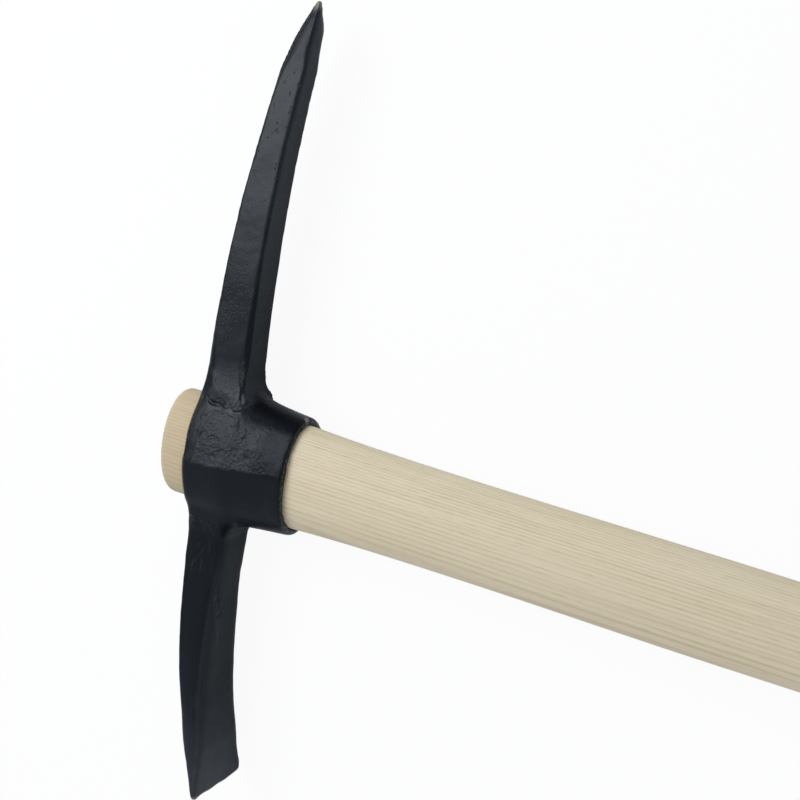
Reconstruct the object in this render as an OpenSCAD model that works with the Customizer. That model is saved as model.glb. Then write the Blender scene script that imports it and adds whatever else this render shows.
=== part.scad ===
// Pick axe: a forged head with a pick and an adze, slipped onto an ash handle.
// X runs along the handle toward the grip, Y toward the pick point, Z up as the tool lies on its side.
// The origin is the middle of the eye, on the axis of the handle.

/* [Handle] */
// Length of the handle from its sawn head end to the grip end
handle_len = 950; // [800:5:1100]
// How far the sawn head end stands out behind the eye
stub_out = 20.5; // [8:0.5:40]
// Rounding of the sawn head end
stub_round = 5; // [2:0.5:8]
// Height of the oval at the rim of the eye, measured along the arms
seat_h = 62; // [54:0.5:70]
// Width of the oval at the rim of the eye
seat_w = 37.2; // [36.6:0.2:44]
// Growth of the oval on each side from the rim to the back of the eye
seat_taper = 1.2; // [0.4:0.1:2]
// Height of the oval in the throat, ahead of the eye
throat_h = 53; // [44:0.5:53.5]
// Length over which the swell at the eye dies away
swell_len = 70; // [40:1:100]
// Distance ahead of the eye where the throat starts to round off
throat_len = 200; // [120:5:260]
// Diameter of the round grip
grip_d = 36; // [30:0.5:36.4]
// Length of the straight round grip
grip_len = 220; // [120:5:260]
// Rounding of the grip end
grip_round = 7; // [2:0.5:12]

/* [Eye] */
// Length of the eye along the handle
eye_len = 69; // [56:1:80]
// Gap on each side between the eye and the handle
fit_gap = 0.15; // [0.05:0.05:0.4]
// Wall above and below the eye at its back
crown_wall = 10; // [8:0.2:14]
// Wall at the sides of the eye at its back
side_wall = 5.6; // [4:0.2:8]
// Wall of the collar at its rim
rim_wall = 4.2; // [2.5:0.1:6]
// Chamfer around the back of the eye
back_chamfer = 3; // [1:0.5:4]
// Rounding of the collar at its rim
rim_round = 1.2; // [0.4:0.1:2]

/* [Arms] */
// Distance from the back of the eye to the back of the arms
arm_inset = 2; // [0:0.5:4]
// Height above the eye wall at which the arms reach their plain section
root_rise = 17; // [12:1:24]
// Length over which the sides of the arms sweep into the eye wall
root_sweep = 33; // [26:1:38]
// Fillet between the arms and the collar
root_fillet = 4.5; // [3:0.5:10]

/* [Pick] */
// Distance from the handle axis to the pick point
pick_reach = 262; // [210:1:320]
// How far the pick point leans toward the grip
pick_drop = 23; // [8:0.5:36]
// Bend of the pick, where 1 is straight and more bends it nearer the point
pick_curl = 2; // [1:0.1:3]
// Thickness of the pick at its root, along the handle
pick_root_t = 26.5; // [18:0.5:32]
// Width of the pick at its root
pick_root_w = 23; // [16:0.5:28]
// Thickness of the pick where the point starts
pick_neck_t = 17; // [10:0.5:20]
// Width of the pick where the point starts
pick_neck_w = 13.5; // [9:0.5:16]
// Length of the point
point_len = 38; // [20:1:50]
// Size of the blunt end of the point
point_end = 2.6; // [1.6:0.2:5]
// Fullness of the back and the front of the point, where 1 is straight
point_belly = 1.25; // [1:0.05:2]
// Fullness of the sides of the point, where 1 is straight
point_fullness = 3; // [1:0.2:4]
// Rounding of the long edges of the pick
pick_arris = 1.6; // [0.6:0.1:3]

/* [Adze] */
// Distance from the handle axis to the cutting edge
adze_reach = 210; // [170:1:260]
// How far the cutting edge leans toward the grip
adze_drop = 22; // [8:1:36]
// Bend of the adze, where 1 is straight and more bends it nearer the edge
adze_curl = 2.5; // [1:0.1:3]
// Thickness of the adze at its root, along the handle
adze_root_t = 28; // [18:0.5:32]
// Width of the adze at its root
adze_root_w = 27; // [18:0.5:32]
// Thickness of the adze where the bevel starts
adze_neck_t = 14; // [8:0.5:18]
// Width of the adze where the bevel starts
adze_neck_w = 41; // [30:0.5:50]
// Length of the bevel
bevel_len = 30; // [20:1:50]
// Thickness of the cutting edge
edge_t = 1.8; // [1:0.1:3]
// Width of the cutting edge
edge_w = 48; // [36:0.5:60]
// Rounding of the corners of the cutting edge
edge_corner = 3; // [1:0.5:8]
// Rounding of the long edges of the adze
adze_arris = 3; // [0.6:0.2:6]

/* [Hidden] */

// Faces around an oval, around the grip and on each rounded corner of an arm
oval_n = 60;
grip_n = 96;
corner_n = 3;
// Rings along each stretch of a loft
round_n = 5;
barrel_n = 2;
collar_n = 6;
sweep_n = 20;
arm_n = 16;
end_n = 8;
seat_n = 3;
swell_n = 12;
taper_n = 12;
// Overlap that sinks one shape into the next so that they join
bite = 1;
// Small shoulder where the oval shaft meets the round grip
grip_step = 0.25;
// Hollow of the collar's taper, where 1 is straight
collar_sweep = 0.5;
// Bend of the sweeps at the roots of the arms, where 2 is a parabola
bend = 2;
// Largest share of half an arm's thickness and width that its rounded edges may take
arris_share = 0.9;
// Rounding of the very end of the point
point_round = point_end/3;

// Stations along the handle
back_x = -eye_len/2;
rim_x = eye_len/2;
stub_x = back_x - stub_out;
throat_x = rim_x + throat_len;
end_x = stub_x + handle_len;
grip_x = end_x - grip_len;

// Half sizes of the handle along its length
seat_slope = seat_taper/eye_len;
grip_r = grip_d/2;
shaft_r = grip_r + grip_step;
function ease(t) = let (u = max(0, min(1, t))) u*u*(3 - 2*u);
function rounding_off(x) = ease((x - throat_x)/(grip_x - throat_x));
function throat_half(x) = throat_h/2 + (shaft_r - throat_h/2)*rounding_off(x);
function swell(x) = exp(-(x - rim_x)/swell_len)*(1 - rounding_off(x));
function handle_half_h(x) =
    x <= rim_x ? seat_h/2 + seat_slope*(rim_x - x)
               : throat_half(x) + (seat_h - throat_h)/2*swell(x);
function handle_half_w(x) =
    x <= rim_x ? seat_w/2 + seat_slope*(rim_x - x)
               : seat_w/2 + (shaft_r - seat_w/2)*ease((x - rim_x)/(grip_x - rim_x));

// Half sizes of the eye and of the wall around it
function eye_half_h(x) = handle_half_h(x) + fit_gap;
function eye_half_w(x) = handle_half_w(x) + fit_gap;
crown_half = eye_half_h(back_x) + crown_wall;
side_half = eye_half_w(back_x) + side_wall;
rim_half_h = eye_half_h(rim_x) + rim_wall;
rim_half_w = eye_half_w(rim_x) + rim_wall;
collar_x = back_x + arm_inset + max(pick_root_t, adze_root_t);
function collar_share(x) = pow(max(0, (x - collar_x)/(rim_x - collar_x)), collar_sweep);
function wall_half_h(x) = crown_half + (rim_half_h - crown_half)*collar_share(x);
function wall_half_w(x) = side_half + (rim_half_w - side_half)*collar_share(x);

// Where the arms start and where their plain section begins
root_y = crown_half + root_rise;
start_y = root_y - root_sweep;
start_half_w = side_half*sqrt(1 - pow(start_y/crown_half, 2)) - bite;
fillet_y = wall_half_h(collar_x + root_fillet) - bite;
fillet_rise = crown_half - fillet_y + root_fillet;

// A ring of points on an oval across the handle
function oval_ring(x, half_h, half_w) =
    [for (i = [0 : oval_n - 1]) let (t = 360*i/oval_n) [x, half_h*sin(t), half_w*cos(t)]];

// A ring of points on a rounded rectangle across an arm
function arm_ring(y, x_back, x_front, half_w, r) =
    let (
        corners = [
            [x_front - r, half_w - r],
            [x_back + r, half_w - r],
            [x_back + r, r - half_w],
            [x_front - r, r - half_w]
        ]
    )
    [for (c = [0 : 3], k = [0 : corner_n])
        let (t = 90*(c + k/corner_n)) [corners[c][0] + r*cos(t), y, corners[c][1] + r*sin(t)]];

// Evenly spaced stations from a to b, leaving out b
function steps(a, b, n) = [for (i = [0 : n - 1]) a + (b - a)*i/n];

// A closed skin through rings of equal count
module loft(rings) {
    n = len(rings[0]);
    last = len(rings) - 1;
    sides = [for (i = [0 : last - 1], j = [0 : n - 1])
        let (a = i*n + j, b = i*n + (j + 1)%n)
        each [[a, b, b + n], [a, b + n, a + n]]];
    first_cap = [for (j = [n - 1 : -1 : 0]) j];
    last_cap = [for (j = [0 : n - 1]) last*n + j];
    polyhedron([for (ring = rings) each ring], concat([first_cap], sides, [last_cap]), 6);
}

// Solid forging around the eye, with its chamfered back and thin rim
module eye_wall() {
    edge_x = rim_x - rim_round;
    loft([
        oval_ring(back_x, crown_half - back_chamfer, side_half - back_chamfer),
        for (x = steps(back_x + back_chamfer, collar_x, barrel_n)) oval_ring(x, crown_half, side_half),
        for (x = steps(collar_x, edge_x, collar_n)) oval_ring(x, wall_half_h(x), wall_half_w(x)),
        for (t = steps(0, 90, round_n))
            let (x = edge_x + rim_round*sin(t), inset = rim_round*(1 - cos(t)))
            oval_ring(x, wall_half_h(edge_x) - inset, wall_half_w(edge_x) - inset),
        oval_ring(rim_x, wall_half_h(edge_x) - rim_round, wall_half_w(edge_x) - rim_round)
    ]);
}

// The tapered oval hole that the handle fills
module eye_hole() {
    loft([for (x = [back_x - bite, rim_x, rim_x + bite])
        oval_ring(x, eye_half_h(min(x, rim_x)), eye_half_w(min(x, rim_x)))]);
}

// One arm along +Y: root, plain taper to the neck, then the worked end
module arm(reach, drop, curl, root, neck, tip, end_len, corner, arris, fullness) {
    neck_y = reach - end_len;
    back = back_x + arm_inset;
    middle = back + root[0]/2;
    function part(y, a, b) = (y - a)/(b - a);
    function size(y, i) =
        y <= root_y ? root[i] :
        y <= neck_y ? root[i] + (neck[i] - root[i])*part(y, root_y, neck_y) :
                      neck[i] + (tip[i] - neck[i])*pow(part(y, neck_y, reach), fullness[i]);
    function lean(y) = drop*pow(max(0, part(y, root_y, reach)), curl);
    function side_sweep(y) =
        (start_half_w - root[1]/2)*pow(max(0, 1 - part(y, start_y, root_y)), bend);
    function front_sweep(y) =
        root_fillet*pow(max(0, min(1, 1 - (y - fillet_y)/fillet_rise)), bend);
    function corner_cut(y) =
        let (d = max(0, corner - (reach - y))) corner - sqrt(corner*corner - d*d);
    function ring_at(y) =
        let (
            x = middle + lean(y),
            t = size(y, 0),
            half_w = size(y, 1)/2 + side_sweep(y) - corner_cut(y),
            r = min(arris, arris_share*t/2, arris_share*half_w)
        )
        arm_ring(y, x - t/2, x + t/2 + front_sweep(y), half_w, r);
    loft([
        for (y = steps(start_y, root_y, sweep_n)) ring_at(y),
        for (y = steps(root_y, neck_y, arm_n)) ring_at(y),
        for (y = steps(neck_y, reach - corner, end_n)) ring_at(y),
        for (t = steps(0, 90, round_n)) ring_at(reach - corner*(1 - sin(t))),
        ring_at(reach)
    ]);
}

module pick_head() {
    color([0.16, 0.17, 0.19])
    difference() {
        union() {
            eye_wall();
            arm(pick_reach, pick_drop, pick_curl, [pick_root_t, pick_root_w], [pick_neck_t, pick_neck_w],
                [point_end, point_end], point_len, point_round, pick_arris, [point_belly, point_fullness]);
            mirror([0, 1, 0])
            arm(adze_reach, adze_drop, adze_curl, [adze_root_t, adze_root_w], [adze_neck_t, adze_neck_w],
                [edge_t, edge_w], bevel_len, edge_corner, adze_arris, [1, 1]);
        }
        eye_hole();
    }
}

// The oval stretch from the sawn end to the start of the grip
module oval_shaft() {
    seat_start = stub_x + stub_round;
    loft([
        for (t = steps(0, 90, round_n))
            let (x = seat_start - stub_round*cos(t), inset = stub_round*(1 - sin(t)))
            oval_ring(x, handle_half_h(x) - inset, handle_half_w(x) - inset),
        for (x = steps(seat_start, rim_x, seat_n)) oval_ring(x, handle_half_h(x), handle_half_w(x)),
        for (x = steps(rim_x, throat_x, swell_n)) oval_ring(x, handle_half_h(x), handle_half_w(x)),
        for (x = steps(throat_x, grip_x, taper_n)) oval_ring(x, handle_half_h(x), handle_half_w(x)),
        oval_ring(grip_x, shaft_r, shaft_r)
    ]);
}

// The round grip with its rounded end
module grip() {
    translate([grip_x - bite, 0, 0])
    rotate([0, 90, 0])
    cylinder(h = grip_len - grip_round + bite, r = grip_r, $fn = grip_n);
    translate([end_x - grip_round, 0, 0])
    rotate([0, 90, 0])
    rotate_extrude($fn = grip_n)
    intersection() {
        union() {
            square([grip_r - grip_round, grip_round]);
            translate([grip_r - grip_round, 0]) circle(grip_round, $fn = grip_n);
        }
        square([grip_r, grip_round]);
    }
}

module handle() {
    color([0.82, 0.74, 0.62]) {
        oval_shaft();
        grip();
    }
}

pick_head();
handle();
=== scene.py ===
import math

import bmesh
import bpy
import numpy
from mathutils import Matrix, Vector, noise


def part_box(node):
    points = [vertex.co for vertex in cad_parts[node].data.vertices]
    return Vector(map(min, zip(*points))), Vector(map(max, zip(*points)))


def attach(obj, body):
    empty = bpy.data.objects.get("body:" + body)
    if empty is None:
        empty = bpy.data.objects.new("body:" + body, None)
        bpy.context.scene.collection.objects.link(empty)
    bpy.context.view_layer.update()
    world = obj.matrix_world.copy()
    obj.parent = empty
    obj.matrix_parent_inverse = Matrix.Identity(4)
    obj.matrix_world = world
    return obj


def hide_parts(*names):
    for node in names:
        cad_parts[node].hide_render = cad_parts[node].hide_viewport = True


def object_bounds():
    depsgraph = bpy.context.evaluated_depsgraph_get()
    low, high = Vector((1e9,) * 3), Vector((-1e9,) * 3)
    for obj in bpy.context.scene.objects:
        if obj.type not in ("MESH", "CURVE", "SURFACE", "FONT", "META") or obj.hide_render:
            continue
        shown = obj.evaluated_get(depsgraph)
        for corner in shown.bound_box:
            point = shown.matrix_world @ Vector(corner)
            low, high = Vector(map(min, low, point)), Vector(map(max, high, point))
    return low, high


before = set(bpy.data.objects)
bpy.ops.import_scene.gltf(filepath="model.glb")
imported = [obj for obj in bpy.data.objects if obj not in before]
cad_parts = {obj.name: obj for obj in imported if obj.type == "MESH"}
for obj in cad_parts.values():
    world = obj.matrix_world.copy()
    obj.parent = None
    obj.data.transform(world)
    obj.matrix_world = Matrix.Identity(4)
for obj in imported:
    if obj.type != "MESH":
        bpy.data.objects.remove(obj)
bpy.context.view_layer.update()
mm = 0.001
weld = 0.01*mm  # points closer than this are one point
headLow, headHigh = (corner/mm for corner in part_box("pick_head"))
handleLow, handleHigh = (corner/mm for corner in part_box("handle"))
print("frame: head", [round(c, 1) for c in headHigh - headLow], "mm")
print("frame: handle", [round(c, 1) for c in handleHigh - handleLow], "mm")

# All sculpting below is in millimetres, in the frame of the solids:
# X goes to the grip, Y to the point of the pick and Z up off the floor.


def ease(low, high, value):  # from 0 at low to 1 at high, with soft ends
    t = min(max((value - low)/(high - low), 0), 1)
    return t*t*(3 - 2*t)


def stretch(value, start, full, fade, stop):  # 1 from full to fade, eased to 0 at start and stop
    return ease(start, full, value)*(1 - ease(fade, stop, value))


def within(value, low, high):
    return low < value < high


def hump(distance, width):
    return math.exp(-(distance/width)**2)


def grit(x, y, z, size, seed):  # smooth noise from -1 to 1, with lumps of about this size
    return noise.noise(Vector((x/size + 9.7*seed, y/size - 5.3*seed, z/size)))


def grain(x, y, z, layers, start=0):  # start plus layers of grit, each with its weight, size and seed
    return sum((weight*grit(x, y, z, size, seed) for weight, size, seed in layers), start)


def facing(place, aim, upward):  # the matrix of a camera or lamp that looks from one point to another
    back = (place - aim).normalized()
    right = upward.cross(back).normalized()
    return Matrix.Translation(place) @ Matrix((right, back.cross(right), back)).transposed().to_4x4()


def mergedCopy(node):
    bm = bmesh.new()
    bm.from_mesh(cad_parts[node].data)
    bmesh.ops.remove_doubles(bm, verts=bm.verts, dist=weld)
    return bm


def placePiece(bm, name, node, body, material):
    mesh = bpy.data.meshes.new(name)
    bm.normal_update()
    bm.to_mesh(mesh)
    bm.free()
    mesh.materials.clear()
    mesh.materials.append(material)
    mesh.polygons.foreach_set("use_smooth", [True]*len(mesh.polygons))
    piece = bpy.data.objects.new(name, mesh)
    bpy.context.collection.objects.link(piece)
    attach(piece, body)
    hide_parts(node)
    print(name + ":", sum(len(p.vertices) - 2 for p in mesh.polygons), "triangles")


# Shader sockets that add their own nodes


class Wire:
    def __init__(self, tree, socket=None):
        self.tree = tree
        self.socket = socket

    def node(self, kind, settings={}, sockets={}, out=0):
        made = self.tree.nodes.new("ShaderNode" + kind)
        for name, value in settings.items():
            if name == "stops":
                ramp = made.color_ramp
                while len(ramp.elements) < len(value):
                    ramp.elements.new(0.5)
                for stop, (place, level) in zip(ramp.elements, value):
                    stop.position = place
                    stop.color = (level, level, level, 1)
            else:
                setattr(made, name, value)
        for name, value in sockets.items():
            if isinstance(value, Wire):
                self.tree.links.new(value.socket, made.inputs[name])
            else:
                made.inputs[name].default_value = value
        return Wire(self.tree, made.outputs[out])

    def maths(self, operation, *others):
        return self.node("Math", {"operation": operation}, dict(enumerate((self, *others))))

    def __add__(self, other):
        return self.maths("ADD", other)

    def __sub__(self, other):
        return self.maths("SUBTRACT", other)

    def __rsub__(self, other):
        return self.node("Math", {"operation": "SUBTRACT"}, {0: other, 1: self})

    def __mul__(self, other):
        return self.maths("MULTIPLY", other)

    __radd__ = __add__
    __rmul__ = __mul__

    def most(self, other):
        return self.maths("MAXIMUM", other)

    def ramp(self, low, high):  # 0 below low and 1 above high, eased
        sockets = {"Value": self, "From Min": low, "From Max": high}
        return self.node("MapRange", {"interpolation_type": "SMOOTHSTEP"}, sockets)

    def stretch(self, start, full, fade, stop):  # 1 from full to fade, eased to 0 at start and stop
        return self.ramp(start, full)*(1 - self.ramp(fade, stop))

    def noise(self, size, detail=2.0, rough=0.5):  # lumps of about this size, or of one size for each axis
        sizes = size if isinstance(size, tuple) else (size,)*3
        spread = self.node("VectorMath", {"operation": "DIVIDE"}, {0: self, 1: sizes})
        sockets = {"Vector": spread, "Scale": 1.0, "Detail": detail, "Roughness": rough}
        return self.node("TexNoise", {}, sockets)

    def axis(self, name):
        return self.node("SeparateXYZ", {}, {0: self}, name)

    def between(self, low, high):  # a colour from low to high, by this share
        return self.node("Mix", {"data_type": "RGBA"}, {0: self, 6: low, 7: high}, 2)


def newMaterial(name, specular):
    material = bpy.data.materials.new(name)
    material.use_nodes = True
    tree = material.node_tree
    shader = tree.nodes["Principled BSDF"]
    shader.inputs["Specular IOR Level"].default_value = specular
    place = Wire(tree).node("TexCoord", out="Object")
    point = place.node("VectorMath", {"operation": "SCALE"}, {0: place, "Scale": 1/mm})  # in millimetres
    return material, shader, point


def feed(shader, **wires):
    for name, wire in wires.items():
        shader.id_data.links.new(wire.socket, shader.inputs[name.replace("_", " ")])


def colour(red, green, blue):  # sRGB levels from 0 to 255, as linear light
    def linear(level):
        share = level/255
        return share/12.92 if share <= 0.04045 else ((share + 0.055)/1.055)**2.4
    return (linear(red), linear(green), linear(blue), 1)


# Camera, fitted to the oval of the handle and to the outline of the head

cameraSpec = dict(
    place=(389.7, 214.3, 594.4),
    aim=(88.7, 59.9, 0),
    upward=(-0.2395, 0.9623, -0.1286),
    focal=1255.84,  # in pixels of the 800 pixel frame
    frame=800,
    sensor=36,
    clipStart=0.01,
)


def makeCamera():
    data = bpy.data.cameras.new("viewCamera")
    data.sensor_width = cameraSpec["sensor"]
    data.lens = cameraSpec["focal"]/cameraSpec["frame"]*data.sensor_width
    data.clip_start = cameraSpec["clipStart"]
    camera = bpy.data.objects.new("viewCamera", data)
    bpy.context.collection.objects.link(camera)
    place = Vector(cameraSpec["place"])*mm
    aim = Vector(cameraSpec["aim"])*mm
    camera.matrix_world = facing(place, aim, Vector(cameraSpec["upward"]))
    bpy.context.scene.camera = camera


makeCamera()
print("camera placed")


# Head: the forged solid is given an even skin of small faces, and worked on like clay.
# In the dictionaries below, a pair is where something starts and where it is full, four numbers give
# also where it fades and where it stops, and a list holds layers of grit. Names that end in X, Y or Z
# are places along that axis, and names that end in Turn are directions of the skin.

forging = dict(
    voxel=1.03,  # spacing of the skin, halved where the scale is rough
    wave=0.22,  # unevenness left by the hammer
    waveGrain=[(1, 26, 18), (0.6, 14, 19)],
    ripple=0.06,
    rippleGrain=[(1, 5, 20)],
    cheekX=27,  # the cheeks lie nearer the middle than this
    cheekZ=13,
    cornerX=(-10, 8),  # the corners between the adze and the collar
    cornerZ=5,
)

# Rounds of smoothing, the stretch of Y that they work on, and how far its ends draw in with each round
smoothing = dict(
    whole=(2, (headLow.y - 1, headHigh.y + 1), (0, 0)),
    pickRoot=(14, (26, 72), (1.1, 1.1)),
    adzeRoot=(14, (-72, -26), (1.1, 1.1)),
    adzeEdges=(55, (-196, -46), (0.8, 0.5)),
    cheeks=(30, (-40, 36), (0.3, 0.3)),
    corners=(25, (-54, -31), (0.3, 0.2)),
    point=(8, (226, 258), (1.0, 0.3)),
)

# The oval of the eye, in half sizes at its end toward the grip
eye = dict(
    tall=31,
    wide=18.6,
    taper=1.2,
    play=0.15,
    wall=1.02,  # what lies within this share of the oval is its wall
    skin=1.05,  # and what lies past this may be worked on
    rim=1,  # the wall stops this far from both ends
)


def eyeReach(x, y, z):  # 1 on the wall of the eye, less inside it
    grown = eye["taper"]*(headHigh.x - x)/(headHigh.x - headLow.x) + eye["play"]
    return math.hypot(y/(eye["tall"] + grown), z/(eye["wide"] + grown))


def sideFace(n, low=0.3, high=0.7):  # 1 on the two sides of the head, which face up and down as it lies
    return ease(low, high, abs(n.z))


def frontFace(n, low=0.4, high=0.8):  # 1 where the skin faces the grip
    return ease(low, high, n.x)


pickArm = dict(
    rootY=60,
    rootHalf=11.5,  # half its width there
    narrowing=0.029,
    lean=23,  # how far the point leans toward the grip
    front=-6,
    bevel=2.9,  # cut off its front arrises near the eye
    bevelY=(44, 56, 85, 165),
    facetY=220,
    facetStart=-9.9,
    facetSlant=0.5,
    facetFall=0.17,
    facetMost=0.3,  # as a share of the thickness
    facetFrom=205,
    heel=1.2,
    heelY=248,
    heelLength=8,
    heelTurn=(0.3, 0.7),
)


def pickLean(y):
    return pickArm["lean"]*(max(y - pickArm["rootY"], 0)/(headHigh.y - pickArm["rootY"]))**2


def pickHalf(y):
    return pickArm["rootHalf"] - pickArm["narrowing"]*max(y - pickArm["rootY"], 0)


def bevelled(co):  # cuts the front arrises of the pick near the eye
    x, y, z = co/mm
    size = pickArm["bevel"]*stretch(y, *pickArm["bevelY"])
    past = size - (pickArm["front"] + pickLean(y) - x) - (pickHalf(y) - abs(z))
    return co if size == 0 or past < 0 else Vector((x - past/2, y, z - math.copysign(past/2, z)))*mm


def pointFacet(x, y, z, n):  # the last of the pick is ground off toward its back edge
    past = pickArm["facetSlant"]*(y - pickArm["facetY"]) + pickArm["facetStart"] - x
    if past < 0 or y < pickArm["facetFrom"]:
        return 0
    return -min(pickArm["facetFall"]*past, pickArm["facetMost"]*abs(z))*sideFace(n)


def pointHeel(x, y, z, n):  # the front swells a little before the point
    swell = pickArm["heel"]*hump(y - pickArm["heelY"], pickArm["heelLength"])
    return swell*frontFace(n, *pickArm["heelTurn"])


# The flat on both sides of the pick runs out into the eye as a shallow tongue with a round foot,
# and the metal falls away behind its back edge
panel = dict(
    back=-26.2,
    backFrom=45,
    backSlant=0.148,
    front=-5.5,
    foot=38.3,
    footLength=7.5,
    footWallY=(42, 62),
    wall=(-0.5, 3.5),
    wander=[(0.5, 6, 23)],
    fadeY=(70, 130),
    sink=0.6,
    fall=0.4,
    fallBlunt=0.5,
    fallReach=(27, 90),
    fallY=(29, 40, 62, 88),
    fallZ=(3, 10),
    spread=0.8,  # it also moves back, which keeps the outline
)


def panelShare(x, y, z):  # 1 on the floor of the flat, 0 outside it
    if y < panel["foot"]:
        return 0
    radius = (panel["front"] - panel["back"])/2
    across = x - pickLean(y) - (panel["front"] + panel["back"])/2
    if across < 0:
        across *= 1 - ease(*panel["footWallY"], y)  # only the foot has a wall toward the back
    below = max(panel["foot"] + panel["footLength"] - y, 0)*radius/panel["footLength"]
    inside = radius - math.hypot(across, below) + grain(x, y, z, panel["wander"])
    return ease(*panel["wall"], inside)*(1 - ease(*panel["fadeY"], y))


def panelCut(x, y, z, n):
    return -panelShare(x, y, z)*panel["sink"]*sideFace(n)


def behindPanel(x, y):  # how far a place lies behind the back edge of the flat
    return panel["back"] - panel["backSlant"]*(y - panel["backFrom"]) - x


def fallenBack(co):  # lowers the band behind the flat on both sides
    x, y, z = co/mm
    past = behindPanel(x, y)
    if past < 0 or not within(y, *panel["fallReach"]):
        return co
    blunt = math.hypot(past, panel["fallBlunt"]) - panel["fallBlunt"]
    depth = panel["fall"]*blunt*stretch(y, *panel["fallY"])*ease(*panel["fallZ"], abs(z))
    return Vector((x - panel["spread"]*depth, y, z - math.copysign(depth, z)))*mm


# A torn ridge along the front edge of the flat, with a trench behind it
tear = dict(
    edge=-6.8,
    curl=7,  # it curls toward the grip at its foot
    curlY=60,
    curlLength=25,
    wander=[(0.8, 7, 32)],
    alongY=(33, 38, 54, 70),
    sideZ=(8, 10),
    underside=0.4,  # its share on the side that is turned down
    width=1.5,
    level=0.5,
    lumps=[(0.9, 2.4, 1), (0.7, 1.2, 24)],
    trench=0.45,
    trenchAt=2.6,
    trenchWidth=1.0,
)


def tearPlace(x, y, z):  # distance from the ridge, and how much of it shows
    curl = tear["curl"]*(max(tear["curlY"] - y, 0)/tear["curlLength"])**2
    edge = tear["edge"] + curl + grain(0, y, z, tear["wander"])
    shown = stretch(y, *tear["alongY"])*ease(*tear["sideZ"], abs(z))
    return x - edge, shown*(1 if z > 0 else tear["underside"])


def tornRidge(x, y, z, n):
    d, shown = tearPlace(x, y, z)
    ridge = hump(d, tear["width"])*max(grain(x, y, z, tear["lumps"], tear["level"]), 0)
    return shown*(ridge - tear["trench"]*hump(d + tear["trenchAt"], tear["trenchWidth"]))


# Two leaves of metal lapped over under the foot of the flat, with rubble between them
fold = dict(
    high=36.0,
    low=32.2,
    dipX=(-29.5, -7.5, -5, 4),
    sway=[(1.6, 6.5, 2)],
    jags=[(0.9, 2.4, 3)],
    alongX=(-29.5, -26.5, -1, 6),
    sideZ=(9, 12),
    underside=0.75,
    reachY=(22, 48),
    lift=0.9,
    edge=(-1.0, 0.6),
    slope=2.6,
    crease=0.6,
    creaseAt=1.2,
    creaseWidth=0.9,
    openX=(-12, -22),  # the lower leaf stands open toward the back
    gape=0.2,
    gapeBack=0.8,
    gapeGrain=[(1, 8, 25)],
    lower=0.3,
    lowerBack=0.5,
    lowerGrain=[(1.2, 7, 4)],
    upper=0.7,
    upperAt=3.4,
    upperSway=[(2.2, 5, 33)],
    upperGape=0.6,
    upperLevel=0.3,
    upperGrain=[(1.3, 6, 34)],
    rubble=0.65,
    rubbleAt=2.5,
    rubbleWidth=3.5,
    rubbleGrain=[(1, 4, 5), (0.7, 2.1, 26), (0.3, 1.1, 40)],
)


def foldPlace(x, y, z):  # height above the folded edge, and how much of it shows
    line = fold["high"] + (fold["low"] - fold["high"])*stretch(x, *fold["dipX"])
    d = y - line - grain(x, 0, z, fold["sway"]) - grain(x, y, z, fold["jags"])
    shown = stretch(x, *fold["alongX"])*ease(*fold["sideZ"], abs(z))
    return d, shown*(1 if z > 0 else fold["underside"])


def leaf(d, gape):  # steep under its edge, sloping away above, with a crease below where it stands open
    rise = fold["lift"]*ease(*fold["edge"], d)*math.exp(-max(d, 0)/fold["slope"])
    return rise - gape*fold["crease"]*hump(d + fold["creaseAt"], fold["creaseWidth"])


def rubbleBand(d):
    return hump(d - fold["rubbleAt"], fold["rubbleWidth"])


def rootFold(x, y, z, n):
    if not within(y, *fold["reachY"]):
        return 0
    d, shown = foldPlace(x, y, z)
    back = ease(*fold["openX"], x)
    gape = max(grain(x, 0, z, fold["gapeGrain"], fold["gape"] + fold["gapeBack"]*back), 0)
    strength = max(grain(x, 0, z, fold["lowerGrain"], fold["lower"] + fold["lowerBack"]*back), 0)
    lower = leaf(d, gape)*strength
    above = d - fold["upperAt"] - grain(x, 0, z, fold["upperSway"])
    strength = max(grain(x, 0, z, fold["upperGrain"], fold["upperLevel"]), 0)
    upper = fold["upper"]*leaf(above, fold["upperGape"])*strength
    rubble = fold["rubble"]*grain(x, y, z, fold["rubbleGrain"])*rubbleBand(d)
    return shown*(lower + upper + rubble)


# The cheek of the eye: scaly above the middle, smooth below, with a blunt ridge between
cheek = dict(
    middle=-0.4,
    tilt=0.115,
    border=[(0.9, 4.5, 6), (0.8, 1.6, 7)],  # how the border of the rough skin wanders
    borderY=(-0.8, 0.8),
    topY=(27, 32),
    backX=(-27, -24.5),
    backWander=0.5,
    frontX=(10, 20),
    frontWander=3,
    frontLoss=0.5,
    sideZ=(11, 14),
    sideTurn=(0.25, 0.5),
    crown=0.8,
    drop=0.6,  # the scaly half lies lower
    above=6,
    below=10,
    ridgeWander=0.7,
    ridgeSway=[(1.2, 15, 41)],
    blunt=0.7,
    bluntEnds=2.5,
    bluntBackX=(-18, -26),
    bluntFrontX=(12, 22),
    ridgeLoss=0.55,
    ridgeLossX=(6, 26),
    ridgeZ=(7, 17),
    ridgeY=(26, 40),
    ridgeTurn=(0.2, 0.6),
)

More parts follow.
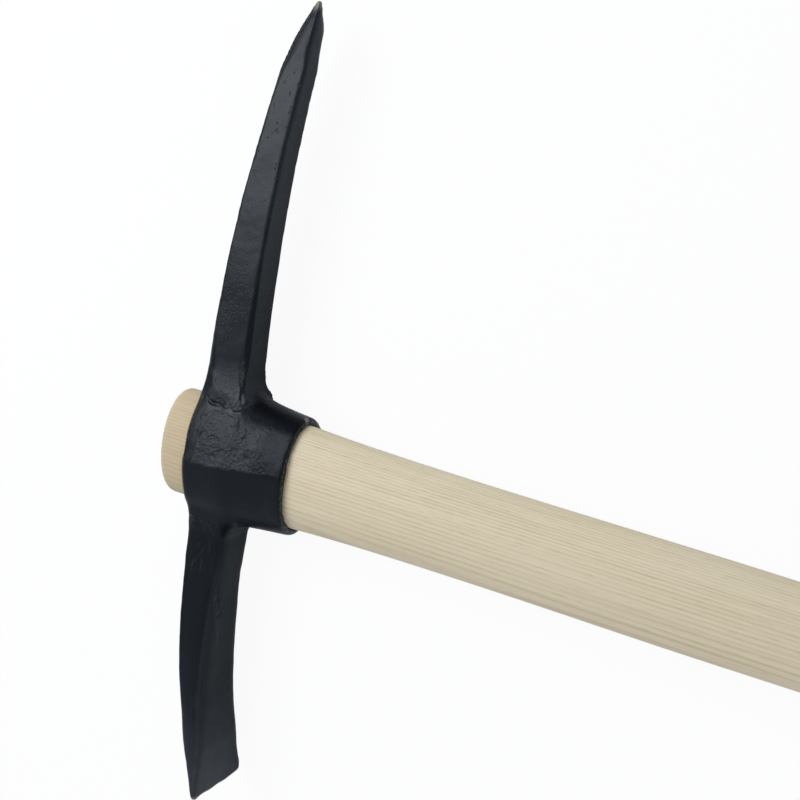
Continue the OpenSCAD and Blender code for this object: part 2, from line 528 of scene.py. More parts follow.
# Scale on the cheek, and a little of it on the fold, the tear and the foot of the flat
scale = dict(
    reachY=(-10, 35),
    flake=0.2,
    flakeEdge=(-0.04, 0.06),
    flakeGrain=[(1, 6, 36), (0.4, 2.2, 37)],
    rough=0.22,
    roughGrain=[(1, 2.2, 8), (0.8, 1.1, 9)],
    roughLevel=0.3,
    roughMore=1.1,
    roughFrom=(-0.2, 0.35),
    roughPatch=[(1, 9, 38)],
    crack=0.45,
    crackEdge=(0.02, 0.09),
    crackGrain=[(1, 8, 27), (0.35, 2.6, 35)],
    crackFrom=(0.05, 0.25),
    crackPatch=[(1, 9, 10)],
    rootY=(22, 72),
    torn=0.9,
    tornWidth=1.9,
    foot=0.4,
    footY=(42, 60),
    footFloor=(0.05, 0.3),
    footTurn=(0.4, 0.8),
)


def cheekMiddle(x):
    return cheek["middle"] + cheek["tilt"]*x


def scaliness(x, y, z, n):  # how much of the rough skin shows here
    wander = grain(x, y, z, cheek["border"])
    share = ease(*cheek["borderY"], y - cheekMiddle(x) + wander)*(1 - ease(*cheek["topY"], y + wander))
    front = 1 - cheek["frontLoss"]*ease(*cheek["frontX"], x + cheek["frontWander"]*wander)
    share *= ease(*cheek["backX"], x + cheek["backWander"]*wander)*front
    share *= ease(*cheek["sideZ"], abs(z))*sideFace(n, *cheek["sideTurn"])
    if within(y, *scale["rootY"]):
        d, folded = foldPlace(x, y, z)
        beside, torn = tearPlace(x, y, z)
        foot = scale["foot"]*(1 - ease(*scale["footY"], y))*ease(*scale["footFloor"], panelShare(x, y, z))
        foot *= sideFace(n, *scale["footTurn"])
        share = max(share, folded*rubbleBand(d), scale["torn"]*torn*hump(beside, scale["tornWidth"]), foot)
    return share


def cheekRidge(x, y, z, n):
    wander = cheek["ridgeWander"]*grain(x, y, z, cheek["border"])
    d = y - cheekMiddle(x) + wander + grain(x, 0, z, cheek["ridgeSway"])
    if d > 0:
        ends = max(ease(*cheek["bluntBackX"], x), ease(*cheek["bluntFrontX"], x))
        blunt = cheek["blunt"] + cheek["bluntEnds"]*ends
        fall = math.exp((blunt - math.hypot(d, blunt))/cheek["above"])
        lift = (cheek["crown"] + cheek["drop"])*fall - cheek["drop"]
    else:
        lift = cheek["crown"]*math.exp(d/cheek["below"])
    shown = (1 - cheek["ridgeLoss"]*ease(*cheek["ridgeLossX"], x))*ease(*cheek["ridgeZ"], abs(z))
    return lift*shown*(1 - ease(*cheek["ridgeY"], abs(y)))*sideFace(n, *cheek["ridgeTurn"])


def cheekSkin(x, y, z, n):
    if not within(y, *scale["reachY"]):
        return 0
    share = scaliness(x, y, z, n)
    if share == 0:
        return 0
    split = 1 - ease(*scale["crackEdge"], abs(grain(x, y, z, scale["crackGrain"])))
    split *= ease(*scale["crackFrom"], grain(x, y, z, scale["crackPatch"]))
    flakes = ease(*scale["flakeEdge"], grain(x, y, z, scale["flakeGrain"]))
    patch = ease(*scale["roughFrom"], grain(x, y, z, scale["roughPatch"]))
    rough = grain(x, y, z, scale["roughGrain"])*(scale["roughLevel"] + scale["roughMore"]*patch)
    return share*(scale["flake"]*flakes + scale["rough"]*rough - scale["crack"]*split)


# A faint line, behind which the wall falls away to the back of the eye
groove = dict(
    place=-27.5,
    wander=[(0.8, 12, 11)],
    depth=0.06,
    width=2.2,
    fall=0.1,
    alongY=(-10, 4, 26, 36),
    sideZ=(8, 14),
)


def backGroove(x, y, z, n):
    away = x - groove["place"] - grain(x, y, z, groove["wander"])
    shown = ease(*groove["sideZ"], abs(z))*stretch(y, *groove["alongY"])
    return -shown*(groove["depth"]*hump(away, groove["width"]) + groove["fall"]*max(-away, 0))


# Nicks in the lip of the collar, and scale left in the corner between the collar and the pick
collar = dict(
    nick=0.6,
    nickX=(headHigh.x - 2.5, headHigh.x - 0.3),
    nickGrain=[(1, 3.5, 12)],
    notch=(3, 41),  # X and Y of the corner
    notchSize=5,
    notchTurn=(0.2, 0.5),
    notchZ=(-8, -2),
    notchDepth=0.2,
    notchGrain=[(0.4, 3.2, 28), (0.25, 1.6, 29)],
)


def rimNicks(x, y, z, n):
    return -collar["nick"]*ease(*collar["nickX"], x)*max(grain(x, y, z, collar["nickGrain"]), 0)


def frontNotch(x, y, z, n):
    away = math.hypot(x - collar["notch"][0], y - collar["notch"][1])
    near = hump(away, collar["notchSize"])*ease(*collar["notchTurn"], n.x + n.y)*ease(*collar["notchZ"], z)
    return near*(grain(x, y, z, collar["notchGrain"]) - collar["notchDepth"])


# A dented fold where the adze leaves the eye
adzeFold = dict(
    place=-41,
    reachY=(-56, -28),
    stopX=(-6, 2),
    sway=[(2.5, 9, 13)],
    jags=[(0.8, 3, 30)],
    lip=0.3,
    lipAt=2,
    lipWidth=2.4,
    crease=0.45,
    creaseAt=1,
    creaseWidth=1.8,
    dentGrain=[(0.5, 3.2, 14), (0.3, 1.6, 39)],
    dentWidth=4,
    level=0.6,
    strength=[(1, 6, 31)],
)


def adzeRoot(x, y, z, n):
    if not within(y, *adzeFold["reachY"]):
        return 0
    d = y - adzeFold["place"] - grain(x, 0, z, adzeFold["sway"]) - grain(x, y, z, adzeFold["jags"])
    lip = adzeFold["lip"]*hump(d + adzeFold["lipAt"], adzeFold["lipWidth"])
    crease = adzeFold["crease"]*hump(d - adzeFold["creaseAt"], adzeFold["creaseWidth"])
    dents = grain(x, y, z, adzeFold["dentGrain"])*hump(d, adzeFold["dentWidth"])
    strength = grain(x, 0, z, adzeFold["strength"], adzeFold["level"])
    return (lip - crease + dents)*(1 - ease(*adzeFold["stopX"], x))*sideFace(n)*strength


# A torn place beside the arris of the adze, with a lip along it
scar = dict(
    alongY=(-120, -110, -86, -76),
    middleY=-98,
    middleZ=7,
    slant=0.22,
    wander=[(1.6, 10, 15)],
    turn=(0.2, 0.6),
    depth=0.4,
    tornGrain=[(0.5, 2.8, 16), (0.4, 1.4, 17)],
    level=0.7,
    strength=[(1, 9, 43)],
    width=3.2,
    lip=0.2,
    lipAt=3.4,
    lipWidth=1.8,
)


def adzeScar(x, y, z, n):
    along = stretch(y, *scar["alongY"])*frontFace(n, *scar["turn"])
    if along == 0:
        return 0
    d = z - scar["middleZ"] - scar["slant"]*(y - scar["middleY"]) - grain(x, y, z, scar["wander"])
    torn = grain(x, y, z, scar["tornGrain"]) - scar["depth"]
    torn *= grain(x, y, z, scar["strength"], scar["level"])
    return along*(scar["lip"]*hump(d - scar["lipAt"], scar["lipWidth"]) + torn*hump(d, scar["width"]))


# What smoothing took off the edges of the arms and of the eye, put back.
# Places on the adze are counted from the eye outward, here and in the next two dictionaries.
refill = dict(
    depth=0.5,
    backTurn=(0.2, 0.6),
    pickY=(-5, 15, 150, 190),
    eye=1.6,  # its share at the eye, which falls to 1 along the root of the pick
    eyeY=(30, 46),
    adze=2,
    adzeY=(46, 70, 120, 170),
    adzeFrontY=(80, 110),
)


def edgeRefill(x, y, z, n):
    pickBack = stretch(y, *refill["pickY"])*(refill["eye"] - (refill["eye"] - 1)*ease(*refill["eyeY"], y))
    adzeBack = refill["adze"]*stretch(-y, *refill["adzeY"])
    back = ease(*refill["backTurn"], -n.x)*max(pickBack, adzeBack)
    return refill["depth"]*max(back, frontFace(n)*ease(*refill["adzeFrontY"], -y))


def hammerWaves(x, y, z, n):
    ripple = forging["ripple"]*grain(x, y, z, forging["rippleGrain"])
    return forging["wave"]*grain(x, y, z, forging["waveGrain"]) + ripple


# Painted shade: darker, duller skin in the corners by the collar, in creases and recesses, and on faces
# turned from the light, with its strength at each place
paintedShade = dict(
    sideTurn=(0.3, 0.6),
    overX=(-3, 5),  # in the corner over the collar
    overY=(20, 30),
    overTurn=(0.35, 0.65, 0.9, 0.99),
    underX=(-12, -6),  # in the corner under it
    underY=(34, 38, 44, 54),
    underTurn=(0.1, 0.4),
    pick=0.4,  # down the front of the pick
    pickY=(42, 50, 80, 150),
    adzeSide=0.35,
    adzeSideY=(40, 52, 90, 150),
    adzeSideTurn=(0.2, 0.5),
    adzeFront=0.55,
    adzeFrontY=(40, 52, 140, 230),
    adzeFrontTurn=(0.86, 0.98),
    point=0.3,
    pointY=(224, 250),
    pointTurn=(0.4, 0.8),
    lip=0.5,  # on the cheek beside the lip of the collar
    lipX=(11, 19),
    lipY=(-3, 5),
    lipGrain=[(2, 5, 42)],
    back=0.55,  # behind the groove
    backX=(-25, -28),
    backY=(-2, 8, 34, 46),
    gap=0.5,  # behind the flat, and around its foot
    gapY=(34, 37),
    behind=(-0.5, 1),
    behindY=(60, 75),
    aroundFloor=(0, 0.35),
    aroundX=(-8, -14),
    aroundY=(43, 46),
    tongue=0.18,
    tongueY=(46, 60),
)


# Painted shade: how far each place is darkened and dulled
def paintedShadeStrength(x, y, z, n):
    side = sideFace(n, *paintedShade["sideTurn"])
    floor = panelShare(x, y, z)
    over = ease(*paintedShade["overX"], x)*stretch(n.y, *paintedShade["overTurn"])*ease(*paintedShade["overY"], y)
    under = ease(*paintedShade["underX"], x)*ease(*paintedShade["underTurn"], -n.y)*stretch(-y, *paintedShade["underY"])
    pick = paintedShade["pick"]*frontFace(n)*stretch(y, *paintedShade["pickY"])
    adzeSide = paintedShade["adzeSide"]*(1 - frontFace(n, *paintedShade["adzeSideTurn"]))*stretch(-y, *paintedShade["adzeSideY"])
    adzeFront = paintedShade["adzeFront"]*frontFace(n, *paintedShade["adzeFrontTurn"])*stretch(-y, *paintedShade["adzeFrontY"])
    point = paintedShade["point"]*sideFace(n, *paintedShade["pointTurn"])*ease(*paintedShade["pointY"], y)
    lip = paintedShade["lip"]*ease(*paintedShade["lipX"], grain(x, y, z, paintedShade["lipGrain"], x))*ease(*paintedShade["lipY"], y)*side
    back = paintedShade["back"]*ease(*paintedShade["backX"], x)*stretch(y, *paintedShade["backY"])*side
    behind = ease(*paintedShade["behind"], behindPanel(x, y))*(1 - ease(*paintedShade["behindY"], y))
    around = (1 - ease(*paintedShade["aroundFloor"], floor))*(1 - ease(*paintedShade["aroundY"], y))
    around *= ease(*paintedShade["aroundX"], x)
    gap = paintedShade["gap"]*max(behind, around)*ease(*paintedShade["gapY"], y)*side
    tongue = paintedShade["tongue"]*floor*(1 - ease(*paintedShade["tongueY"], y))*side
    return max(over, under, pick, adzeSide, adzeFront, point, lip, back, gap, tongue)


# Dust and a painted highlight on the blunt arrises of the adze, and of the outer half of the pick
arrisDustHighlight = dict(
    adzeY=(50, 75),
    pick=0.9,
    pickY=(120, 190),
    turn=(0.2, 0.6, 0.9, 0.98),
    sideTurn=(0.15, 0.4),
)


def arrisDustHighlightShare(y, n):
    along = max(ease(*arrisDustHighlight["adzeY"], -y), arrisDustHighlight["pick"]*ease(*arrisDustHighlight["pickY"], y))
    return along*stretch(n.x, *arrisDustHighlight["turn"])*sideFace(n, *arrisDustHighlight["sideTurn"])


# The cutting edge is not quite square: one corner is sharp and the other worn round
cuttingEdge = dict(
    reach=26,
    skew=0.3,
    wobble=0.9,
    wobbleSize=8,
    wobbleSeed=21,
    wobbleStopZ=(12, 20),
    cornerFrom=-14,
    cornerLength=9,
    cornerWear=2.0,
    sharpFrom=17,
    sharpBy=1.6,
    sharpOut=0.5,
)


def wearEdge(co):  # trims the cutting edge along the blade
    x, y, z = co/mm
    near = ease(headLow.y + cuttingEdge["reach"], headLow.y, y)
    if near == 0:
        return co
    half = (headHigh.z - headLow.z)/2
    wobble = cuttingEdge["wobble"]*grit(0, 0, z, cuttingEdge["wobbleSize"], cuttingEdge["wobbleSeed"])
    trim = cuttingEdge["skew"]*(1 - z/half)/2 + wobble*(1 - ease(*cuttingEdge["wobbleStopZ"], z))
    trim += cuttingEdge["cornerWear"]*max((cuttingEdge["cornerFrom"] - z)/cuttingEdge["cornerLength"], 0)**2
    sharp = cuttingEdge["sharpBy"]*ease(cuttingEdge["sharpFrom"], half - 1, z)
    return Vector((x, y + near*trim - near*sharp, z + cuttingEdge["sharpOut"]*near*sharp))*mm


# Where the skin needs the finer faces: on the cheeks, at the root of the adze and at the torn place on it
fineSkin = dict(
    sideZ=9,
    cheekX=(-33, 24),
    cheekY=(-8, 47),
    rootX=2,
    rootY=(-50, -33),
    scarX=-8,
    scarY=(-124, -76),
    scarZ=(-8, 17),
)


def isRough(x, y, z):
    onSide = abs(z) > fineSkin["sideZ"]
    onCheek = onSide and within(x, *fineSkin["cheekX"]) and within(y, *fineSkin["cheekY"])
    onRoot = onSide and x < fineSkin["rootX"] and within(y, *fineSkin["rootY"])
    onScar = x > fineSkin["scarX"] and within(y, *fineSkin["scarY"]) and within(z, *fineSkin["scarZ"])
    return onCheek or onRoot or onScar


skinMoves = [
    panelCut, pointFacet, pointHeel, tornRidge, rootFold, cheekRidge, cheekSkin, backGroove,
    rimNicks, frontNotch, adzeRoot, adzeScar, edgeRefill, hammerWaves,
]


def remeshed(bm, spacing):
    mesh = bpy.data.meshes.new("rawForging")
    bm.to_mesh(mesh)
    bm.free()
    raw = bpy.data.objects.new("rawForging", mesh)
    bpy.context.collection.objects.link(raw)
    skin = raw.modifiers.new("evenSkin", "REMESH")
    skin.mode = "VOXEL"
    skin.voxel_size = spacing*mm
    even = bpy.data.meshes.new_from_object(raw.evaluated_get(bpy.context.evaluated_depsgraph_get()))
    bpy.data.objects.remove(raw)
    bpy.data.meshes.remove(mesh)
    bm = bmesh.new()
    bm.from_mesh(even)
    bpy.data.meshes.remove(even)
    return bm


def soften(bm, verts, rounds, reach, shrink):
    for k in range(rounds):
        low = reach[0] + shrink[0]*k
        high = reach[1] - shrink[1]*k
        zone = [v for v in verts if within(v.co.y/mm, low, high)]
        bmesh.ops.smooth_vert(bm, verts=zone, factor=0.5, use_axis_x=True, use_axis_y=True, use_axis_z=True)


def smoothForging(bm, skin):
    for part in ("whole", "pickRoot", "adzeRoot", "adzeEdges"):
        soften(bm, skin, *smoothing[part])
    cheeks = [v for v in skin if abs(v.co.x)/mm < forging["cheekX"] and abs(v.co.z)/mm > forging["cheekZ"]]
    soften(bm, cheeks, *smoothing["cheeks"])
    inside = [v for v in skin if within(v.co.x/mm, *forging["cornerX"])]
    corners = [v for v in inside if abs(v.co.z)/mm > forging["cornerZ"]]
    soften(bm, corners, *smoothing["corners"])
    soften(bm, skin, *smoothing["point"])


def needsFine(v):
    return isRough(*(v.co/mm)) and eyeReach(*(v.co/mm)) > eye["skin"]


def makeHead(material):
    bm = remeshed(mergedCopy("pick_head"), forging["voxel"])
    skin = [v for v in bm.verts if eyeReach(*(v.co/mm)) > eye["skin"]]
    smoothForging(bm, skin)
    for v in skin:
        v.co = fallenBack(bevelled(v.co))
    fine = [e for e in bm.edges if all(needsFine(v) for v in e.verts)]
    bmesh.ops.subdivide_edges(bm, edges=fine, cuts=1, use_grid_fill=True)
    bm.normal_update()
    # Shares kept at each point: rough scale, painted shade, and dust with a painted highlight on the
    # arrises
    scaly = bm.verts.layers.float.new("scaly")
    sooty = bm.verts.layers.float.new("sooty")
    rubbed = bm.verts.layers.float.new("rubbed")
    moved = []
    for v in bm.verts:
        x, y, z = v.co/mm
        reach = eyeReach(x, y, z)
        if reach < eye["wall"] and abs(x) < headHigh.x - eye["rim"]:  # the wall stays true to the handle
            moved.append(Vector((x, y/reach, z/reach))*mm)
            continue
        lift = sum(move(x, y, z, v.normal) for move in skinMoves)
        v[scaly] = scaliness(x, y, z, v.normal)
        v[sooty] = paintedShadeStrength(x, y, z, v.normal)
        v[rubbed] = arrisDustHighlightShare(y, v.normal)
        moved.append(wearEdge(v.co + v.normal*lift*mm))
    for v, co in zip(bm.verts, moved):
        v.co = co
    placePiece(bm, "forged_pick_head", "pick_head", "head", material)


# Paint: satin black over the scale, with the share that each kind of wear, dust, grain, painted shade and
# painted highlight has in it
paint = dict(
    black=colour(18, 22, 29),
    # the pale tone of dust, also used for the painted highlight on the arrises
    dustAndHighlightTone=colour(60, 64, 70),
    # the dark tone that painted shade draws the paint toward
    paintedShade=colour(5, 8, 14),
    bare=colour(160, 153, 142),
    rough=0.31,
    scaleRough=0.42,
    specular=0.27,
    tint=(0.88, 0.95, 1.0, 1),
    tip=0.6,
    tipReach=(-5, 1),  # from the end of the pick
    edge=0.5,
    edgeReach=(2, 3.6),  # from the cutting edge
    edgeCornerZ=(14, 22),
    rim=0.3,
    rimReach=(0.9, 1.5),  # from the lip of the collar
    chip=0.6,
    chipPlace=(34.0, 34.8, 2.0),  # a worn place on the lip of the collar
    chipSize=(3.6, 5.0),
    strokeTurn=0.5,
    strokeX=(-29, -24, -12, -8),
    strokeY=(-76, -68, -52, -46),
    fleckX=(-9, -5),
    fleckY=(-50, -46, -38, -34),
    upperZ=(8, 11),
    paleEdgeY=(130, 200),
    pitY=(145, 165, 230, 242),
    pebbleY=(62, 80, 105, 130),
    bump=0.8,
    bumpDepth=0.4,
)

# Size, detail and roughness of the noise in the paint
paintNoise = dict(
    patches=(30, 3),
    specks=(1.5, 3, 0.65),
    drawn=((2.2, 60.0, 1.0), 3),  # grinding lines along the arms
    pebbles=(1.3, 2, 0.6),
    tip=(2.0,),
    edge=(1.6, 3),
    rim=(1.8, 3),
    slanted=((0.8, 18, 6), 1),
    upright=((0.8, 26, 6), 1),
    flecks=(1.2, 2),
    pits=((3.4, 5.5, 3.4), 2),
    pebbly=(1.5, 2),
    pebblyPatch=(14, 2),
    fine=(0.9, 3, 0.6),
    coarse=(2.8, 2),
)


def bareSteel(p, specks):  # where the paint is worn off
    x, y, z = map(p.axis, "XYZ")
    tipLow, tipHigh = (headHigh.y + reach for reach in paint["tipReach"])
    tip = paint["tip"]*(y + 3*p.noise(*paintNoise["tip"])).ramp(tipLow, tipHigh)
    edgeLow, edgeHigh = (reach - headLow.y for reach in paint["edgeReach"])
    edge = 5*p.noise(*paintNoise["edge"]) + 1.5*z.ramp(*paint["edgeCornerZ"]) - y
    rimLow, rimHigh = (headHigh.x + reach for reach in paint["rimReach"])
    rim = (2.4*p.noise(*paintNoise["rim"]) + x).ramp(rimLow, rimHigh)
    corner = p.node("VectorMath", {"operation": "DISTANCE"}, {0: p, 1: paint["chipPlace"]}, "Value")
    chip = 1 - (corner + 5*specks).ramp(*paint["chipSize"])
    worn = tip.most(paint["edge"]*edge.ramp(edgeLow, edgeHigh))
    return worn.most(paint["rim"]*rim).most(paint["chip"]*chip)


def scratches(p):  # thin strokes at the root of the adze, and flecks nearer the eye
    x, y, z = map(p.axis, "XYZ")
    upper = z.ramp(*paint["upperZ"])
    sockets = {"Vector": p, "Angle": paint["strokeTurn"]}
    turned = p.node("VectorRotate", {"rotation_type": "Z_AXIS"}, sockets)
    slanted = turned.noise(*paintNoise["slanted"]).ramp(0.64, 0.70)
    upright = p.noise(*paintNoise["upright"]).ramp(0.66, 0.72)
    strokes = slanted.most(upright)*(x.stretch(*paint["strokeX"])*y.stretch(*paint["strokeY"])*upper)
    flecks = p.noise(*paintNoise["flecks"]).ramp(0.66, 0.72)
    return strokes, flecks*(1 - x.ramp(*paint["fleckX"]))*y.stretch(*paint["fleckY"])*upper


def satinBlack():
    material, shader, p = newMaterial("satinBlackOnForging", paint["specular"])
    shader.inputs["Specular Tint"].default_value = paint["tint"]
    layers = ("scaly", "sooty", "rubbed")
    scaly, sooty, rubbed = (p.node("Attribute", {"attribute_name": name}, out="Fac") for name in layers)
    y = p.axis("Y")
    patches = p.noise(*paintNoise["patches"]).ramp(0.45, 0.75)
    specks = p.noise(*paintNoise["specks"])
    drawn = p.noise(*paintNoise["drawn"])
    pebbles = p.noise(*paintNoise["pebbles"])
    bare = bareSteel(p, specks)
    strokes, flecks = scratches(p)

    paleTowardEdge = 0.6*(0 - y).ramp(*paint["paleEdgeY"])  # lighter toward the end of the adze
    # Dust, scale and grain lighten the paint, and a painted highlight lightens the blunt arrises
    dustAndHighlight = 0.4*scaly + 0.25*patches + 0.35*specks + 0.2*drawn + paleTowardEdge - 0.42
    dustAndHighlight = dustAndHighlight.most(0.0) + 0.7*strokes + 0.4*flecks + 0.22*rubbed
    # Painted shade: shaded places are drawn toward the dark shade colour
    tone = (0.9*sooty).between(dustAndHighlight.between(paint["black"], paint["dustAndHighlightTone"]), paint["paintedShade"])
    tone = bare.between(tone, paint["bare"])

    rough = paint["rough"] + (paint["scaleRough"] - paint["rough"])*scaly
    rough = rough + 0.12*sooty + 0.16*specks - 0.08 + 0.1*bare
    metal = (0.8*bare).most(0.6*sooty)

    pits = p.noise(*paintNoise["pits"]).ramp(0.66, 0.71)*y.stretch(*paint["pitY"])
    pebbly = p.noise(*paintNoise["pebbly"]).ramp(0.52, 0.66)*y.stretch(*paint["pebbleY"])
    pebbly = pebbly*p.noise(*paintNoise["pebblyPatch"]).ramp(0.42, 0.58)
    fine = 0.1*p.noise(*paintNoise["fine"]) + 0.09*p.noise(*paintNoise["coarse"])
    height = fine + scaly*(1.2*pebbles + 0.5*specks) + 0.1*drawn - 0.55*pits - 0.2*pebbly
    sockets = {"Strength": paint["bump"], "Distance": paint["bumpDepth"]*mm, "Height": height}
    feed(shader, Base_Color=tone, Roughness=rough, Metallic=metal, Normal=p.node("Bump", {}, sockets))
    return material


makeHead(satinBlack())


# Handle: turned anew through the rings of the solid, with the slight flats that a spokeshave leaves

turning = dict(
    facets=96,
    slice=6.0,
    margin=2,  # the new rings stop this far from the eye and from the end of the grip
    easing=18.0,  # the rings are eased into one line over this length, each way
    samples=13,
    easeIn=(3, 25),  # past the eye
    easeOut=(40, 20),  # before the end of the grip
    capInset=1.5,
    flats=0.12,
    flatsIn=(3, 20),
    flatsOut=(20, 5),
    flatSize=14,
    flatLength=6,  # times as long as wide
    flatSeed=22,
)


def handleRings():  # the place of each ring of the solid, with its half height and half width
    solid = mergedCopy("handle")
    rings = {}
    for v in solid.verts:
        x, y, z = v.co/mm
        tall, wide = rings.get(round(x, 2), (0, 0))
        rings[round(x, 2)] = max(tall, y), max(wide, z)
    solid.free()
    places = sorted(rings)
    grip = max(range(len(places) - 1), key=lambda k: places[k + 1] - places[k])
    rings[places[grip]] = rings[places[grip + 1]]  # without the small step where the grip starts
    return places, numpy.array([rings[x] for x in places]), places[grip + 1]


def makeHandle(material):
    places, sizes, gripStop = handleRings()
    near = numpy.linspace(-turning["easing"], turning["easing"], turning["samples"])

    def midway(x, start, end):
        first = (headHigh.x + past for past in start)
        last = (gripStop - short for short in end)
        return stretch(x, *first, *last)

    def half(x, k):
        eased = midway(x, turning["easeIn"], turning["easeOut"])
        line = numpy.interp(x + near, places, sizes[:, k]).mean()
        return eased*line + (1 - eased)*numpy.interp(x, places, sizes[:, k])

    bm = bmesh.new()
    middle = (places[0] + places[-1])/2*mm
    length = (places[-1] - places[0])*mm
    lying = Matrix.Translation((middle, 0, 0)) @ Matrix.Rotation(math.pi/2, 4, "Y")
    facets = turning["facets"]
    bmesh.ops.create_cone(
        bm, cap_ends=True, segments=facets, radius1=1, radius2=1, depth=length, matrix=lying,
    )
    margin = turning["margin"]
    span = gripStop - headHigh.x
    count = round(span/turning["slice"])
    cuts = [x for x in places[1:-1] if x < headHigh.x + margin/2 or x > gripStop - margin/2]
    cuts += [headHigh.x + margin + (span - 2*margin)*k/count for k in range(count + 1)]
    for x in sorted(cuts):
        whole = bm.verts[:] + bm.edges[:] + bm.faces[:]
        bmesh.ops.bisect_plane(bm, geom=whole, dist=weld, plane_co=(x*mm, 0, 0), plane_no=(1, 0, 0))
    for v in bm.verts:
        x = v.co.x/mm
        v.co = Vector((x, v.co.y*half(x, 0), v.co.z*half(x, 1)))*mm
    caps = [f for f in bm.faces if len(f.verts) == facets]
    bmesh.ops.inset_individual(bm, faces=caps, thickness=turning["capInset"]*mm)
    bm.normal_update()
    for v in bm.verts:
        x, y, z = v.co/mm
        worked = midway(x, turning["flatsIn"], turning["flatsOut"])
        flat = grit(x/turning["flatLength"], y, z, turning["flatSize"], turning["flatSeed"]) - 0.5
        v.co += v.normal*turning["flats"]*worked*flat*mm
    placePiece(bm, "ash_handle", "handle", "handle", material)


wood = dict(
    pale=colour(227, 215, 188),
    mid=colour(208, 192, 160),
    dark=colour(168, 146, 110),
    stubShade=colour(172, 147, 110),  # painted shade on the end in the eye, which is also a little browner
    stubShadeShare=0.45,
    stubShadeX=(-36, -20),
    ring=1.6,  # width of a year's growth
    season=[(0.0, 0.9), (0.10, 1.0), (0.42, 0.2), (0.80, 0.0), (1.0, 0.9)],  # how dark it grows
    pith=(105.0, -95.0),  # where the middle of the tree lay
    plainY=(-27, -12),
    rough=0.62,
    specular=0.3,
    bump=0.35,
    bumpDepth=0.12,
)

# Size, detail and roughness of the noise in the wood, drawn out along the handle
woodNoise = dict(
    wander=((240, 40, 40), 2),
    waver=((160, 6, 6), 2),
    plain=((120, 6, 6), 2),
    fibres=((26, 0.5, 0.5), 3, 0.6),
    streaks=((70, 1.3, 1.3), 2),
    pores=((9, 0.34, 0.34), 1),
    patches=((160, 18, 18), 2),
    flecks=((8, 0.6, 0.6), 2),
)


def planedAsh():
    material, shader, p = newMaterial("planedAsh", wood["specular"])
    x, y, z = map(p.axis, "XYZ")
    wander = p.noise(*woodNoise["wander"])
    across = y + 5*wander - wood["pith"][0]
    up = z + 4*wander - wood["pith"][1]
    radius = (across*across + up*up).maths("SQRT")
    season = (radius*(1/wood["ring"]) + 0.7*p.noise(*woodNoise["waver"])).maths("FRACT")
    early = season.node("ValToRGB", {"stops": wood["season"]}, {0: season})
    plain = p.noise(*woodNoise["plain"]).ramp(0.30, 0.65)  # some years are plainer
    plain = plain*(0.3 + 0.7*y.ramp(*wood["plainY"]))
    fibres = p.noise(*woodNoise["fibres"])
    streaks = p.noise(*woodNoise["streaks"]).ramp(0.3, 0.75)
    pores = p.noise(*woodNoise["pores"]).ramp(0.60, 0.72)*(0.2 + 0.8*early)
    patches = p.noise(*woodNoise["patches"])
    flecks = p.noise(*woodNoise["flecks"]).ramp(0.52, 0.7)

    share = 0.2*flecks + 0.72*early*(0.3 + 0.7*plain) + 0.45*streaks + 0.3*patches - 0.28
    tone = share.most(0.0).between(wood["pale"], wood["mid"])
    tone = (0.4*pores + 0.3*fibres.ramp(0.45, 0.8)*early).between(tone, wood["dark"])
    # Painted shade: the end in the eye is drawn darker and browner
    stubShaded = wood["stubShadeShare"] - wood["stubShadeShare"]*x.ramp(*wood["stubShadeX"])
    tone = stubShaded.between(tone, wood["stubShade"])
    height = 0.5*fibres - 0.8*pores - 0.3*early
    sockets = {"Strength": wood["bump"], "Distance": wood["bumpDepth"]*mm, "Height": height}
    feed(shader, Base_Color=tone, Roughness=wood["rough"] + 0.1*fibres, Normal=p.node("Bump", {}, sockets))
    return material


makeHandle(planedAsh())


# Floor and light

studio = dict(
    floorSize=24.0,
    floor=(0.91, 0.94, 0.97, 1),
    floorRough=0.9,
    floorSpecular=0.1,
    glow=0.93,  # how far the floor goes to plain white in view
    sheen=0.12,  # and in reflections, which keep more of the shadow
    sky=0.38,
    skyTint=(0.94, 0.98, 1.04, 1),
    keyPlace=(-0.72, 0.62, 1.15),
    keyAim=(0.0, 0.05, 0.0),
    keySize=(1.2, 1.0),
    keyPower=17.0,
    fillPlace=(0.55, -1.15, 0.40),
    fillAim=(0.2, 0.0, 0.0),
    fillSize=(0.9, 0.6),
    fillPower=2.6,
)


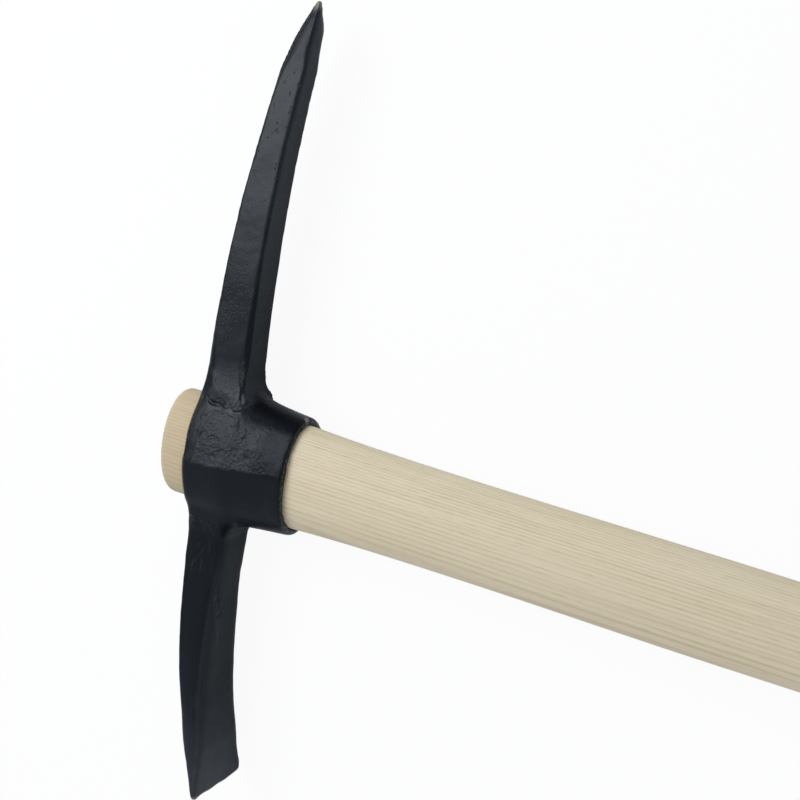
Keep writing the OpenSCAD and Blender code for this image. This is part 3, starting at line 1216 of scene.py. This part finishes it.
def paleFloor():
    material = bpy.data.materials.new("paleFloor")
    material.use_nodes = True
    tree = material.node_tree
    shader = tree.nodes["Principled BSDF"]
    shader.inputs["Base Color"].default_value = studio["floor"]
    shader.inputs["Roughness"].default_value = studio["floorRough"]
    shader.inputs["Specular IOR Level"].default_value = studio["floorSpecular"]
    wire = Wire(tree)
    rays = ("Camera", "Glossy", "Transmission")
    camera, glossy, through = (wire.node("LightPath", out="Is " + kind + " Ray") for kind in rays)
    share = (studio["glow"]*camera).most(studio["sheen"]*glossy.most(through))
    plain = wire.node("Emission", {}, {"Color": (1, 1, 1, 1), "Strength": 1.0})
    surface = wire.node("MixShader", {}, {0: share, 1: Wire(tree, shader.outputs[0]), 2: plain})
    tree.links.new(surface.socket, tree.nodes["Material Output"].inputs["Surface"])
    return material


def makeFloor(level):
    bm = bmesh.new()
    bmesh.ops.create_grid(bm, x_segments=1, y_segments=1, size=studio["floorSize"]/2)
    bmesh.ops.translate(bm, verts=bm.verts, vec=(0, 0, level))
    mesh = bpy.data.meshes.new("paleFloor")
    bm.to_mesh(mesh)
    bm.free()
    mesh.materials.append(paleFloor())
    floor = bpy.data.objects.new("paleFloor", mesh)
    bpy.context.collection.objects.link(floor)


def softbox(name):
    data = bpy.data.lights.new(name + "Softbox", "AREA")
    data.shape = "RECTANGLE"
    data.size, data.size_y = studio[name + "Size"]
    data.energy = studio[name + "Power"]
    lamp = bpy.data.objects.new(name + "Softbox", data)
    lamp.visible_camera = False
    lamp.visible_glossy = name == "key"
    bpy.context.collection.objects.link(lamp)
    place = Vector(studio[name + "Place"])
    aim = Vector(studio[name + "Aim"])
    lamp.matrix_world = facing(place, aim, Vector((1, 0, 0)))


def makeLight():
    world = bpy.data.worlds.new("softSky")
    world.use_nodes = True
    sky = world.node_tree.nodes["Background"]
    sky.inputs["Color"].default_value = studio["skyTint"]
    sky.inputs["Strength"].default_value = studio["sky"]
    bpy.context.scene.world = world
    softbox("key")
    softbox("fill")


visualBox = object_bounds()
makeFloor(visualBox[0].z)
makeLight()
bpy.context.scene.view_settings.view_transform = "Standard"
print("floor and light placed")
